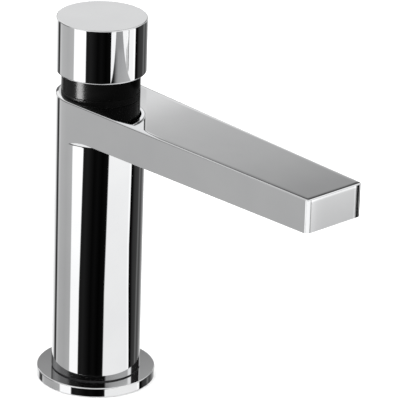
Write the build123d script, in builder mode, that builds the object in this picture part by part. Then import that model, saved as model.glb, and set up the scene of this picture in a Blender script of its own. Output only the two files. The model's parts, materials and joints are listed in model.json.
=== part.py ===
# Push timed tap: a chrome column with a long flat arm, a black neck and a push button.
# Millimetres. The column stands on z = 0 with its axis on Z, and the arm points along +X.

import os
from math import pi

from build123d import *

# Overall sizes
column_wall = 5.0
arm_top = 143.5
arm_thick = 17.9
tip_thick = 16.1
reach = 155.0
tip_width = 33.0
tip_corner_r = 1.2
edge_r = 0.6
root_fillet_r = 3.0
root_bite = 0.12
flange_step = 7.1
flange_top = 4.7
flange_edge_r = 0.5
seal_line = 0.6
neck_gap = 0.7
neck_high = 10.7
button_rise = 0.1
stroke = 8.0

# Clearances
seat_gap = 0.3
nest_gap = 0.1
running_gap = 0.05
overrun = 1.0

# Foot of the column
flange_lip = 2.3
gasket_gap = 3.0
gasket_high = 2.0
flange_lift = 0.3
foot_wall = 4.0
foot_step = 2.0
foot_high = 24.0
foot_seal_drop = 6.0
foot_seal_wire_d = 2.4
inlet_rim = 3.55
inlet_thread_d = 8.9
inlet_deep = 11.0
stud_rim = 3.1
stud_thread_d = 6.8
stud_deep = 14.0
filter_step = 0.65
filter_high = 1.2
filter_ledge = 0.8
filter_hole_d = 0.9
filter_pitch = 1.7
seal_setback = 0.4
seal_width = 2.6

# Supply tube
tube_d = 8.0
tube_wall = 1.0
tube_socket = 5.0
tube_run_share = 1 / 3
tube_bend_share = 0.45

# Plunger, from the button down to the valve disc
stem_d = 6.0
stem_pass_gap = 0.4
stem_thread_step = 1.0
stem_collar_step = 1.5
stem_collar_high = 2.0
thread_end = 2.2
seat_flow = 2.0
disc_overlap = 2.3
disc_gap = 0.2
valve_disc_high = 3.0
valve_nut_flats = 8.0
valve_nut_high = 3.6
piston_gap = 0.4
piston_high = 5.0
lip_floor = 1.4
lip_wide = 2.4
lip_deep = 1.6
spring_wire_d = 1.1
spring_gap = 1.75
spring_pressed = 9.0
spring_end_pitch = 1.6
spring_turns = 6

# Cartridge in the column
timing_room_d = 18.0
chamber_wall = 3.5
housing_wall = 2.5
disc_room_gap = 1.1
body_collar_step = 3.1
barrel_gap = 0.4
low_collar_high = 8.0
high_collar_high = 5.0
ring_wire_d = 2.4
room_floor = 3.0
room_clear = 2.0
seat_high = 4.0
window_rim = 2.0
window_high = 8.0
window_width = 9.0
spigot_deep = 3.0
bulkhead_high = 4.0
bleed_inset = 2.0
bleed_d = 1.4
bush_step = 1.0
bush_high = 5.9
clip_thick = 1.0
clip_bite = 1.0
clip_width = 2.5
clip_mouth = 5.0
clip_cover = 2.0
nut_high = 5.0
nut_inset = 1.0
nut_wall = 5.7
nut_slot = 3.0
nut_slot_deep = 2.0
timing_screw_d = 3.0
timing_point = 1.0
slot_width = 0.6
slot_deep = 0.7
partition = 4.0

# Neck and button
neck_ring_high = 1.7
neck_ring_wall = 4.2
sleeve_wall = 3.2
sleeve_plate_drop = 1.2
sleeve_plate_high = 2.0
sleeve_plate_gap = 1.0
sleeve_overlap = 6.2
press_clear = 2.0
rib_clear = 1.5
button_wall = 2.0
button_roof = 3.0
button_top_r = 0.5
button_foot_r = 0.8
boss_wall = 5.0
insert_plate_high = 3.0
insert_rib = 2.0
insert_rib_high = 4.5
stem_cover = 4.0
set_screw_up = 3.6
set_screw_d = 3.0

# Waterway and outlet in the arm
arm_wall = 2.8
core_setback = 5.0
core_corner_r = 2.0
way_mouth_width = 18.0
way_mouth_tall = 3.7
way_room = 3.0
way_shelf_high = 2.2
way_end_wall = 3.0
outlet_setback = 16.0
outlet_bore_d = 24.0
outlet_pass_d = 16.0
housing_stand = 1.0
housing_shell = 2.2
housing_lip = 1.3
housing_lip_high = 1.4
washer_high = 1.5
washer_gap = 0.7
washer_width = 3.3
insert_gap = 0.2
insert_rim = 1.2
insert_floor_high = 1.6
insert_hole_d = 1.5
insert_pitch = 2.6

# Widths of the cartridge, from the stem outwards
stem_thread_d = stem_d - stem_thread_step * 2
stem_collar_d = stem_d + stem_collar_step * 2
stem_pass_d = stem_d + stem_pass_gap * 2
seat_hole_d = stem_d + seat_flow * 2
valve_disc_d = seat_hole_d + disc_overlap * 2
inlet_room_d = valve_disc_d + disc_room_gap * 2
piston_d = timing_room_d - piston_gap * 2
lip_core_d = piston_d - lip_deep * 2
spring_mean_d = timing_room_d - spring_gap * 2 - spring_wire_d
body_d = timing_room_d + chamber_wall * 2
outlet_room_d = body_d - housing_wall * 2
bush_room_d = timing_room_d + bush_step * 2
clip_groove_d = bush_room_d + clip_bite * 2
clip_d = clip_groove_d - seat_gap * 2
collar_d = body_d + body_collar_step * 2
barrel_d = collar_d + barrel_gap * 2
nut_d = barrel_d - seat_gap * 2
bleed_x = bleed_inset - timing_room_d / 2
timing_screw_long = body_d / 2 + bleed_x - bleed_d / 2 - timing_point

# Column and arm
column_d = barrel_d + column_wall * 2
column_r = column_d / 2
flange_d = column_d + flange_step * 2
button_d = column_d + button_rise * 2
neck_d = button_d - button_wall * 2 - neck_gap * 2
column_foot = flange_top + seal_line
arm_low = arm_top - arm_thick
arm_low_tip = arm_top - tip_thick
arm_slope = (arm_low_tip - arm_low) / reach
root_level = arm_low + arm_slope * (column_r + root_fillet_r)
outlet_x = reach - outlet_setback
core_start = column_r + core_setback
core_end = reach - way_end_wall
shelf_x = outlet_x - outlet_bore_d / 2 - arm_wall
core_floor = arm_low + arm_wall
outlet_roof = arm_top - arm_wall - way_room - way_shelf_high

# Foot: what stands between the column and the basin
gasket_d = flange_d - flange_lip * 2
foot_bore_d = column_d - foot_wall * 2
foot_spigot_d = foot_bore_d - foot_step * 2
gasket_hole_d = foot_spigot_d + gasket_gap * 2
foot_seal_z = foot_high - foot_seal_drop
inlet_x = inlet_rim + inlet_thread_d / 2 - foot_spigot_d / 2
stud_x = foot_spigot_d / 2 - stud_rim - stud_thread_d / 2
filter_d = inlet_thread_d - filter_step * 2
inlet_way_d = filter_d - filter_ledge * 2
tube_low = foot_high - tube_socket
tube_bore_d = tube_d - tube_wall * 2

# Levels of the cartridge, from the column's top downwards
nut_top = arm_top - nut_inset
cartridge_top = nut_top - nut_high
high_collar_low = cartridge_top - high_collar_high
ring_high_z = cartridge_top - high_collar_high / 2
clip_top = cartridge_top - clip_cover
bush_top = clip_top - clip_thick
bush_low = bush_top - bush_high
piston_low = bush_low - nest_gap - piston_high
lip_low = piston_low + lip_floor
bulkhead_top = piston_low - stroke - spring_pressed
joint_z = bulkhead_top - bulkhead_high
window_top = joint_z - window_rim
window_low = window_top - window_high
seat_top = window_low - window_rim
seat_low = seat_top - seat_high
stem_shoulder = seat_low - disc_gap
valve_disc_low = stem_shoulder - valve_disc_high
valve_nut_low = valve_disc_low - valve_nut_high
stem_low = valve_nut_low - thread_end
inlet_floor = stem_low - stroke - room_clear
barrel_low = inlet_floor - room_floor
low_collar_top = barrel_low + low_collar_high
ring_low_z = barrel_low + low_collar_high / 2
tube_high = barrel_low - partition
foot_bore_top = tube_high - partition
screw_z = bulkhead_top - bulkhead_high / 2
tube_run = (tube_high - tube_low) * tube_run_share
tube_slant = (inlet_x**2 + (tube_high - tube_low - tube_run * 2) ** 2) ** 0.5
tube_half_turn = -inlet_x / (tube_slant + tube_high - tube_low - tube_run * 2)
tube_bend_r = min(tube_run, tube_slant) * tube_bend_share / tube_half_turn

# Levels of the neck and the button, from the column's top upwards
button_low = arm_top + neck_high
sleeve_plate_top = button_low - sleeve_plate_drop
sleeve_plate_low = sleeve_plate_top - sleeve_plate_high
sleeve_top = button_low + sleeve_overlap
insert_low = sleeve_plate_top + stroke + press_clear
insert_rib_low = sleeve_top + stroke + rib_clear
insert_plate_low = insert_rib_low + insert_rib_high
insert_top = insert_plate_low + insert_plate_high
button_high = insert_top + button_roof
stem_high = insert_plate_low - stem_cover
set_screw_z = insert_low + set_screw_up
insert_boss_d = stem_d + boss_wall * 2
insert_plate_d = button_d - button_wall * 2 - seat_gap * 2

# Outlet at the arm's tip
housing_low = arm_low_tip - housing_stand
housing_ledge = housing_low + housing_lip_high
housing_top = outlet_roof - washer_high
housing_d = outlet_bore_d - seat_gap * 2
housing_bore_d = housing_d - housing_shell * 2
housing_mouth_d = housing_bore_d - housing_lip * 2
washer_d = outlet_bore_d - washer_gap * 2
insert_d = housing_bore_d - insert_gap * 2

os.makedirs("parts", exist_ok=True)

# Core of the arm: the hollow that the casting leaves, with even walls and a shelf over the outlet.
with BuildPart() as arm_core:
    with BuildSketch(Plane.XY.offset(arm_low)):
        with BuildLine():
            Polyline(
                (core_start, column_r - arm_wall),
                (core_end, tip_width / 2 - arm_wall),
                (core_end, arm_wall - tip_width / 2),
                (core_start, arm_wall - column_r),
                close=True,
            )
        make_face()
    extrude(amount=arm_top - arm_low)
    with BuildSketch(Plane.XZ):
        with BuildLine():
            Polyline(
                (0, core_floor),
                (shelf_x, core_floor + arm_slope * shelf_x),
                (shelf_x, outlet_roof + way_shelf_high),
                (reach, outlet_roof + way_shelf_high),
                (reach, arm_top - arm_wall),
                (0, arm_top - arm_wall),
                close=True,
            )
        make_face()
    extrude(amount=column_r, both=True, mode=Mode.INTERSECT)
    fillet(arm_core.edges().filter_by(Axis.Z), radius=core_corner_r)

# Outline of the arm from above: its sides run tangent to the column.
with BuildSketch() as arm_outline:
    Circle(column_r)
    with Locations((reach - tip_corner_r * 2, 0)):
        RectangleRounded(tip_corner_r * 4, tip_width, tip_corner_r)
    make_hull()

# Web under the arm: the rounded inner corner, which fades out where the sides meet the column.
with BuildPart() as arm_root:
    with BuildSketch(Plane.XZ):
        with Locations((column_r - overrun, root_level - root_fillet_r + root_bite)):
            Rectangle(
                root_fillet_r + overrun - root_bite,
                root_fillet_r + overrun,
                align=(Align.MIN, Align.MIN),
            )
        with Locations((column_r + root_fillet_r - root_bite, root_level - root_fillet_r + root_bite)):
            Circle(root_fillet_r, mode=Mode.SUBTRACT)
    revolve(axis=Axis.Z)
    with BuildSketch(Plane.XY.offset(root_level - root_fillet_r - overrun)):
        add(arm_outline.sketch)
        offset(amount=-edge_r, mode=Mode.REPLACE)
    extrude(amount=root_fillet_r + overrun * 2, mode=Mode.INTERSECT)

# Body: one casting. The top of the arm and of the column is one plane.
with BuildPart() as tap_body:
    with BuildSketch(Plane.XY.offset(arm_low)):
        add(arm_outline.sketch)
    extrude(amount=arm_top - arm_low)
    with BuildSketch(Plane.XZ):
        with BuildLine():
            Polyline(
                (0, arm_low - overrun),
                (reach + overrun, arm_low - overrun),
                (reach + overrun, arm_low_tip),
                (0, arm_low),
                close=True,
            )
        make_face()
    extrude(amount=column_r + overrun, both=True, mode=Mode.SUBTRACT)
    with BuildSketch(Plane.XY.offset(column_foot)):
        Circle(column_r)
    extrude(amount=arm_top - column_foot)
    add(arm_root.part)
    top_rim = tap_body.edges().filter_by_position(Axis.Z, arm_top - nest_gap, arm_top + nest_gap)
    fillet(top_rim, radius=edge_r)
    # foot bore, partition with the tube's socket, and the cartridge barrel
    with BuildSketch(Plane.XY.offset(column_foot)):
        Circle(foot_bore_d / 2)
    extrude(amount=foot_bore_top - column_foot, mode=Mode.SUBTRACT)
    with BuildSketch(Plane.XY.offset(foot_bore_top)):
        Circle(tube_d / 2 + seat_gap)
    extrude(amount=tube_high - foot_bore_top, mode=Mode.SUBTRACT)
    with BuildSketch(Plane.XY.offset(tube_high)):
        Circle(tube_bore_d / 2)
    extrude(amount=barrel_low - tube_high, mode=Mode.SUBTRACT)
    with BuildSketch(Plane.XY.offset(barrel_low)):
        Circle(barrel_d / 2)
    extrude(amount=arm_top + overrun - barrel_low, mode=Mode.SUBTRACT)
    # waterway from the barrel into the hollow arm
    with BuildSketch(Plane.XY.offset(core_floor)):
        with Locations((core_start / 2, 0)):
            Rectangle(core_start + overrun, way_mouth_width)
    extrude(amount=way_mouth_tall, mode=Mode.SUBTRACT)
    add(arm_core.part, mode=Mode.SUBTRACT)
    with BuildSketch(Plane.XY.offset(arm_low)):
        with Locations((outlet_x, 0)):
            Circle(outlet_bore_d / 2)
    extrude(amount=outlet_roof - arm_low, mode=Mode.SUBTRACT)
    with BuildSketch(Plane.XY.offset(outlet_roof)):
        with Locations((outlet_x, 0)):
            Circle(outlet_pass_d / 2)
    extrude(amount=way_shelf_high, mode=Mode.SUBTRACT)
tap_body.part.label = "tap_body"
export_step(tap_body.part, "parts/tap_body.step")

# Flange: plain disc, hollowed below for the gasket.
with BuildPart() as base_flange:
    with BuildSketch(Plane.XY.offset(flange_lift)):
        Circle(flange_d / 2)
        Circle(foot_spigot_d / 2 + seat_gap, mode=Mode.SUBTRACT)
    extrude(amount=flange_top - flange_lift)
    flange_rim = base_flange.edges().group_by(Axis.Z)[-1].sort_by(SortBy.RADIUS)[-1]
    fillet(flange_rim, radius=flange_edge_r)
    with BuildSketch(Plane.XY):
        Circle(gasket_d / 2 + seat_gap)
        Circle(gasket_hole_d / 2 - seat_gap, mode=Mode.SUBTRACT)
    extrude(amount=gasket_high, mode=Mode.SUBTRACT)
base_flange.part.label = "base_flange"
export_step(base_flange.part, "parts/base_flange.step")

# Gasket: flat rubber ring that stands on the basin.
with BuildPart() as base_gasket:
    with BuildSketch(Plane.XY):
        Circle(gasket_d / 2)
        Circle(gasket_hole_d / 2, mode=Mode.SUBTRACT)
    extrude(amount=gasket_high)
base_gasket.part.label = "base_gasket"
export_step(base_gasket.part, "parts/base_gasket.step")

# Seal ring: the thin dark line between the column and the flange.
with BuildPart() as column_seal_ring:
    with BuildSketch(Plane.XY.offset(flange_top)):
        Circle(column_r - seal_setback)
        Circle(column_r - seal_setback - seal_width, mode=Mode.SUBTRACT)
    extrude(amount=seal_line)
column_seal_ring.part.label = "column_seal_ring"
export_step(column_seal_ring.part, "parts/column_seal_ring.step")

# Inlet base: brass foot with the inlet thread, the stud thread and the tube's socket.
with BuildPart() as inlet_base:
    with BuildSketch(Plane.XY.offset(flange_lift)):
        Circle(foot_spigot_d / 2)
    extrude(amount=flange_top - flange_lift)
    with BuildSketch(Plane.XY.offset(flange_top)):
        Circle(foot_bore_d / 2 - seat_gap)
    extrude(amount=foot_high - flange_top)
    with BuildSketch(Plane.XZ):
        with Locations((foot_bore_d / 2 - seat_gap, foot_seal_z)):
            Rectangle(foot_seal_wire_d * 2, foot_seal_wire_d + nest_gap * 2)
    revolve(axis=Axis.Z, mode=Mode.SUBTRACT)
    with BuildSketch(Plane.XY):
        with Locations((inlet_x, 0)):
            Circle(inlet_thread_d / 2)
    extrude(amount=flange_lift + inlet_deep, mode=Mode.SUBTRACT)
    with BuildSketch(Plane.XY):
        with Locations((stud_x, 0)):
            Circle(stud_thread_d / 2)
    extrude(amount=flange_lift + stud_deep, mode=Mode.SUBTRACT)
    with BuildSketch(Plane.XY.offset(flange_lift + inlet_deep)):
        with Locations((inlet_x, 0)):
            Circle(filter_d / 2 + seat_gap)
    extrude(amount=filter_high, mode=Mode.SUBTRACT)
    with BuildSketch(Plane.XY):
        with Locations((inlet_x, 0)):
            Circle(inlet_way_d / 2)
    extrude(amount=foot_high + overrun, mode=Mode.SUBTRACT)
    with BuildSketch(Plane.XY.offset(tube_low)):
        with Locations((inlet_x, 0)):
            Circle(tube_d / 2 + seat_gap)
    extrude(amount=foot_high + overrun - tube_low, mode=Mode.SUBTRACT)
inlet_base.part.label = "inlet_base"
export_step(inlet_base.part, "parts/inlet_base.step")

# Inlet seal: O-ring round the inlet base.
with BuildPart() as inlet_seal:
    with BuildSketch(Plane.XZ):
        with Locations((foot_bore_d / 2 - nest_gap - foot_seal_wire_d / 2, foot_seal_z)):
            Circle(foot_seal_wire_d / 2)
    revolve(axis=Axis.Z)
inlet_seal.part.label = "inlet_seal"
export_step(inlet_seal.part, "parts/inlet_seal.step")

# Inlet filter: perforated disc at the end of the inlet thread.
with BuildPart() as inlet_filter:
    with BuildSketch(Plane.XY.offset(flange_lift + inlet_deep)):
        with Locations((inlet_x, 0)):
            Circle(filter_d / 2)
            with HexLocations(filter_pitch / 2, 3, 3):
                Circle(filter_hole_d / 2, mode=Mode.SUBTRACT)
    extrude(amount=filter_high)
inlet_filter.part.label = "inlet_filter"
export_step(inlet_filter.part, "parts/inlet_filter.step")

# Supply tube: from its socket beside the axis up to the partition on the axis.
with BuildPart() as supply_tube:
    with BuildLine(Plane.XZ) as tube_path:
        FilletPolyline(
            (inlet_x, tube_low),
            (inlet_x, tube_low + tube_run),
            (0, tube_high - tube_run),
            (0, tube_high),
            radius=tube_bend_r,
        )
    with BuildSketch(Plane(origin=(inlet_x, 0, tube_low), z_dir=(0, 0, 1))):
        Circle(tube_d / 2)
        Circle(tube_bore_d / 2, mode=Mode.SUBTRACT)
    sweep(path=tube_path.wires()[0])
supply_tube.part.label = "supply_tube"
export_step(supply_tube.part, "parts/supply_tube.step")

# Cartridge housing: the inlet room below the seat and the outlet room above it.
with BuildPart() as cartridge_housing:
    with BuildSketch(Plane.XY.offset(barrel_low)):
        Circle(collar_d / 2)
    extrude(amount=low_collar_top - barrel_low)
    with BuildSketch(Plane.XY.offset(low_collar_top)):
        Circle(body_d / 2)
    extrude(amount=joint_z - low_collar_top)
    with BuildSketch(Plane.XY.offset(barrel_low)):
        Circle(tube_bore_d / 2)
    extrude(amount=inlet_floor - barrel_low, mode=Mode.SUBTRACT)
    with BuildSketch(Plane.XY.offset(inlet_floor)):
        Circle(inlet_room_d / 2)
    extrude(amount=seat_low - inlet_floor, mode=Mode.SUBTRACT)
    with BuildSketch(Plane.XY.offset(seat_low)):
        Circle(outlet_room_d / 2)
    extrude(amount=joint_z + overrun - seat_low, mode=Mode.SUBTRACT)
    with BuildSketch(Plane.XY.offset(window_low)):
        Rectangle(body_d + overrun, window_width)
        Rectangle(window_width, body_d + overrun)
    extrude(amount=window_high, mode=Mode.SUBTRACT)
    with BuildSketch(Plane.XZ):
        with Locations((collar_d / 2, ring_low_z)):
            Rectangle(ring_wire_d * 2, ring_wire_d + nest_gap * 2)
    revolve(axis=Axis.Z, mode=Mode.SUBTRACT)
cartridge_housing.part.label = "cartridge_housing"
export_step(cartridge_housing.part, "parts/cartridge_housing.step")

# Valve seat: brass ring that the valve disc closes from below.
with BuildPart() as valve_seat:
    with BuildSketch(Plane.XY.offset(seat_low)):
        Circle(outlet_room_d / 2 - seat_gap)
        Circle(seat_hole_d / 2, mode=Mode.SUBTRACT)
    extrude(amount=seat_high)
valve_seat.part.label = "valve_seat"
export_step(valve_seat.part, "parts/valve_seat.step")

# Timing chamber: the upper half of the cartridge, with the bleed hole in its floor.
with BuildPart() as timing_chamber:
    with BuildSketch(Plane.XY.offset(joint_z - spigot_deep)):
        Circle(outlet_room_d / 2 - nest_gap)
        Circle(stem_pass_d / 2, mode=Mode.SUBTRACT)
    extrude(amount=spigot_deep)
    with BuildSketch(Plane.XY.offset(joint_z)):
        Circle(body_d / 2)
    extrude(amount=high_collar_low - joint_z)
    with BuildSketch(Plane.XY.offset(high_collar_low)):
        Circle(collar_d / 2)
    extrude(amount=cartridge_top - high_collar_low)
    with BuildSketch(Plane.XY.offset(joint_z - spigot_deep - overrun)):
        Circle(stem_pass_d / 2)
        with Locations((bleed_x, 0)):
            Circle(bleed_d / 2)
    extrude(amount=bulkhead_top + overrun - joint_z + spigot_deep, mode=Mode.SUBTRACT)
    with BuildSketch(Plane.XY.offset(bulkhead_top)):
        Circle(timing_room_d / 2)
    extrude(amount=bush_low - bulkhead_top, mode=Mode.SUBTRACT)
    with BuildSketch(Plane.XY.offset(bush_low)):
        Circle(bush_room_d / 2)
    extrude(amount=cartridge_top + overrun - bush_low, mode=Mode.SUBTRACT)
    with BuildSketch(Plane.XY.offset(bush_top)):
        Circle(clip_groove_d / 2)
    extrude(amount=clip_thick, mode=Mode.SUBTRACT)
    with BuildSketch(Plane.XZ):
        with Locations((collar_d / 2, ring_high_z)):
            Rectangle(ring_wire_d * 2, ring_wire_d + nest_gap * 2)
    revolve(axis=Axis.Z, mode=Mode.SUBTRACT)
    with BuildSketch(Plane.YZ.offset(-body_d / 2)):
        with Locations((0, screw_z)):
            Circle(timing_screw_d / 2 + nest_gap)
    extrude(amount=timing_screw_long, mode=Mode.SUBTRACT)
timing_chamber.part.label = "timing_chamber"
export_step(timing_chamber.part, "parts/timing_chamber.step")

# Timing screw: throttles the bleed hole from the side.
with BuildPart() as timing_screw:
    with BuildSketch(Plane.YZ.offset(-body_d / 2)):
        with Locations((0, screw_z)):
            Circle(timing_screw_d / 2)
    extrude(amount=timing_screw_long)
    with BuildSketch(Plane.YZ.offset(-body_d / 2)):
        with Locations((0, screw_z)):
            Rectangle(slot_width, timing_screw_d + overrun)
    extrude(amount=slot_deep, mode=Mode.SUBTRACT)
timing_screw.part.label = "timing_screw"
export_step(timing_screw.part, "parts/timing_screw.step")

# O-rings of the cartridge.
with BuildPart() as cartridge_o_ring_low:
    with BuildSketch(Plane.XZ):
        with Locations((barrel_d / 2 - nest_gap - ring_wire_d / 2, ring_low_z)):
            Circle(ring_wire_d / 2)
    revolve(axis=Axis.Z)
cartridge_o_ring_low.part.label = "cartridge_o_ring_low"
export_step(cartridge_o_ring_low.part, "parts/cartridge_o_ring_low.step")

with BuildPart() as cartridge_o_ring_high:
    with BuildSketch(Plane.XZ):
        with Locations((barrel_d / 2 - nest_gap - ring_wire_d / 2, ring_high_z)):
            Circle(ring_wire_d / 2)
    revolve(axis=Axis.Z)
cartridge_o_ring_high.part.label = "cartridge_o_ring_high"
export_step(cartridge_o_ring_high.part, "parts/cartridge_o_ring_high.step")

# Guide bush: centres the stem and stops the piston at the top of its travel.
with BuildPart() as guide_bush:
    with BuildSketch(Plane.XY.offset(bush_low)):
        Circle(bush_room_d / 2 - seat_gap)
        Circle(stem_d / 2 + running_gap, mode=Mode.SUBTRACT)
    extrude(amount=bush_high)
guide_bush.part.label = "guide_bush"
export_step(guide_bush.part, "parts/guide_bush.step")

# Retaining ring: open steel ring above the bush.
with BuildPart() as retaining_ring:
    with BuildSketch(Plane.XY.offset(bush_top)):
        Circle(clip_d / 2)
        Circle(clip_d / 2 - clip_width, mode=Mode.SUBTRACT)
        with Locations((0, clip_d / 2)):
            Rectangle(clip_mouth, clip_d, mode=Mode.SUBTRACT)
    extrude(amount=clip_thick)
retaining_ring.part.label = "retaining_ring"
export_step(retaining_ring.part, "parts/retaining_ring.step")

# Cartridge nut: holds the cartridge down in the barrel.
with BuildPart() as cartridge_nut:
    with BuildSketch(Plane.XY.offset(cartridge_top)):
        Circle(nut_d / 2)
        Circle(nut_d / 2 - nut_wall, mode=Mode.SUBTRACT)
    extrude(amount=nut_high)
    with BuildSketch(Plane.XY.offset(nut_top - nut_slot_deep)):
        Rectangle(nut_d + overrun, nut_slot)
        Rectangle(nut_slot, nut_d + overrun)
    extrude(amount=nut_slot_deep + overrun, mode=Mode.SUBTRACT)
cartridge_nut.part.label = "cartridge_nut"
export_step(cartridge_nut.part, "parts/cartridge_nut.step")

# Neck base ring: low matt ring on the column's top.
with BuildPart() as neck_base_ring:
    with BuildSketch(Plane.XY.offset(arm_top)):
        Circle(neck_d / 2)
        Circle(neck_d / 2 - neck_ring_wall, mode=Mode.SUBTRACT)
    extrude(amount=neck_ring_high)
neck_base_ring.part.label = "neck_base_ring"
export_step(neck_base_ring.part, "parts/neck_base_ring.step")

# Neck sleeve: glossy sleeve that reaches up inside the button.
with BuildPart() as neck_sleeve:
    with BuildSketch(Plane.XY.offset(arm_top + neck_ring_high)):
        Circle(neck_d / 2)
        Circle(neck_d / 2 - sleeve_wall, mode=Mode.SUBTRACT)
    extrude(amount=sleeve_top - arm_top - neck_ring_high)
    with BuildSketch(Plane.XY.offset(sleeve_plate_low)):
        Circle(neck_d / 2)
        Circle(stem_d / 2 + sleeve_plate_gap, mode=Mode.SUBTRACT)
    extrude(amount=sleeve_plate_high)
neck_sleeve.part.label = "neck_sleeve"
export_step(neck_sleeve.part, "parts/neck_sleeve.step")

# Stem: from the valve disc up into the button.
with BuildPart() as stem:
    with BuildSketch(Plane.XY.offset(stem_low)):
        Circle(stem_thread_d / 2)
    extrude(amount=stem_shoulder - stem_low)
    with BuildSketch(Plane.XY.offset(stem_shoulder)):
        Circle(stem_d / 2)
    extrude(amount=stem_high - stem_shoulder)
    with BuildSketch(Plane.XY.offset(piston_low - stem_collar_high)):
        Circle(stem_collar_d / 2)
    extrude(amount=stem_collar_high)
stem.part.label = "stem"
export_step(stem.part, "parts/stem.step")

# Piston: rests on the stem's collar and is pushed up by the spring.
with BuildPart() as piston:
    with BuildSketch(Plane.XY.offset(piston_low)):
        Circle(piston_d / 2)
        Circle(stem_d / 2 + nest_gap, mode=Mode.SUBTRACT)
    extrude(amount=piston_high)
    with BuildSketch(Plane.XY.offset(lip_low)):
        Circle(piston_d / 2 + overrun)
        Circle(lip_core_d / 2 - nest_gap, mode=Mode.SUBTRACT)
    extrude(amount=lip_wide, mode=Mode.SUBTRACT)
piston.part.label = "piston"
export_step(piston.part, "parts/piston.step")

# Lip seal: rubber ring in the piston's groove.
with BuildPart() as piston_lip_seal:
    with BuildSketch(Plane.XY.offset(lip_low)):
        Circle(timing_room_d / 2 - nest_gap)
        Circle(lip_core_d / 2, mode=Mode.SUBTRACT)
    extrude(amount=lip_wide)
piston_lip_seal.part.label = "piston_lip_seal"
export_step(piston_lip_seal.part, "parts/piston_lip_seal.step")

# Valve disc and its nut, on the stem's lower end.
with BuildPart() as valve_disc:
    with BuildSketch(Plane.XY.offset(valve_disc_low)):
        Circle(valve_disc_d / 2)
        Circle(stem_thread_d / 2 + nest_gap, mode=Mode.SUBTRACT)
    extrude(amount=valve_disc_high)
valve_disc.part.label = "valve_disc"
export_step(valve_disc.part, "parts/valve_disc.step")

with BuildPart() as valve_disc_nut:
    with BuildSketch(Plane.XY.offset(valve_nut_low)):
        RegularPolygon(valve_nut_flats / 2, 6, major_radius=False)
        Circle(stem_thread_d / 2 + nest_gap, mode=Mode.SUBTRACT)
    extrude(amount=valve_nut_high)
valve_disc_nut.part.label = "valve_disc_nut"
export_step(valve_disc_nut.part, "parts/valve_disc_nut.step")

# Return spring: between the chamber's floor and the piston, with closer end turns.
# Each half turn is a pair of arcs that keep the wire's direction at both of its ends.
spring_high = piston_low - bulkhead_top - spring_wire_d
spring_pitch = (spring_high - spring_end_pitch * 2) / (spring_turns - 2)
pitches = [spring_end_pitch] * 2 + [spring_pitch] * (spring_turns * 2 - 4) + [spring_end_pitch] * 2
levels = [bulkhead_top + spring_wire_d / 2 + sum(pitches[:half]) / 2 for half in range(len(pitches) + 1)]
climbs = [(low + high) / 2 for low, high in zip(pitches[:1] + pitches, pitches + pitches[-1:])]
with BuildPart() as return_spring:
    with BuildLine() as spring_path:
        for half in range(len(pitches)):
            side = 1 if half % 2 == 0 else -1
            start = Vector(side * spring_mean_d / 2, 0, levels[half])
            finish = Vector(-side * spring_mean_d / 2, 0, levels[half + 1])
            leave = Vector(0, side * pi * spring_mean_d, climbs[half]).normalized()
            arrive = Vector(0, -side * pi * spring_mean_d, climbs[half + 1]).normalized()
            chord = finish - start
            facing = 2 * (1 - leave.dot(arrive))
            along = chord.dot(leave + arrive)
            handle = ((along**2 + facing * chord.dot(chord)) ** 0.5 - along) / facing
            middle = (start + leave * handle + finish - arrive * handle) / 2
            TangentArc(start, middle, tangent=leave)
            TangentArc(finish, middle, tangent=-arrive)
    wire_start = Plane(origin=(spring_mean_d / 2, 0, levels[0]), z_dir=(0, pi * spring_mean_d, climbs[0]))
    with BuildSketch(wire_start):
        Circle(spring_wire_d / 2)
    sweep(path=spring_path.wires()[0])
return_spring.part.label = "return_spring"
export_step(return_spring.part, "parts/return_spring.step")

# Push button: hollow cap.
with BuildPart() as push_button:
    with BuildSketch(Plane.XY.offset(button_low)):
        Circle(button_d / 2)
    extrude(amount=button_high - button_low)
    fillet(push_button.edges().filter_by(GeomType.CIRCLE).sort_by(Axis.Z)[-1], radius=button_top_r)
    fillet(push_button.edges().filter_by(GeomType.CIRCLE).sort_by(Axis.Z)[0], radius=button_foot_r)
    with BuildSketch(Plane.XY.offset(button_low)):
        Circle(button_d / 2 - button_wall)
    extrude(amount=insert_top - button_low, mode=Mode.SUBTRACT)
push_button.part.label = "push_button"
export_step(push_button.part, "parts/push_button.step")

# Button insert: ribbed plastic piece that joins the cap to the stem.
with BuildPart() as button_insert:
    with BuildSketch(Plane.XY.offset(insert_plate_low)):
        Circle(insert_plate_d / 2)
    extrude(amount=insert_plate_high)
    with BuildSketch(Plane.XY.offset(insert_low)):
        Circle(insert_boss_d / 2)
    extrude(amount=insert_plate_low - insert_low)
    with BuildSketch(Plane.XY.offset(insert_rib_low)):
        Rectangle(insert_plate_d - insert_rib * 2, insert_rib)
        Rectangle(insert_rib, insert_plate_d - insert_rib * 2)
    extrude(amount=insert_rib_high)
    with BuildSketch(Plane.XY.offset(insert_low)):
        Circle(stem_d / 2 + nest_gap)
    extrude(amount=stem_high - insert_low, mode=Mode.SUBTRACT)
    with BuildSketch(Plane.YZ.offset(-insert_boss_d / 2 - overrun)):
        with Locations((0, set_screw_z)):
            Circle(set_screw_d / 2 + nest_gap)
    extrude(amount=insert_boss_d / 2 + overrun, mode=Mode.SUBTRACT)
button_insert.part.label = "button_insert"
export_step(button_insert.part, "parts/button_insert.step")

# Button screw: set screw that holds the insert on the stem.
with BuildPart() as button_screw:
    with BuildSketch(Plane.YZ.offset(-insert_boss_d / 2 + nest_gap)):
        with Locations((0, set_screw_z)):
            Circle(set_screw_d / 2)
    extrude(amount=(insert_boss_d - stem_d) / 2 - nest_gap * 2)
    with BuildSketch(Plane.YZ.offset(-insert_boss_d / 2 + nest_gap)):
        with Locations((0, set_screw_z)):
            RegularPolygon(set_screw_d / 4, 6)
    extrude(amount=slot_deep * 2, mode=Mode.SUBTRACT)
button_screw.part.label = "button_screw"
export_step(button_screw.part, "parts/button_screw.step")

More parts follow.
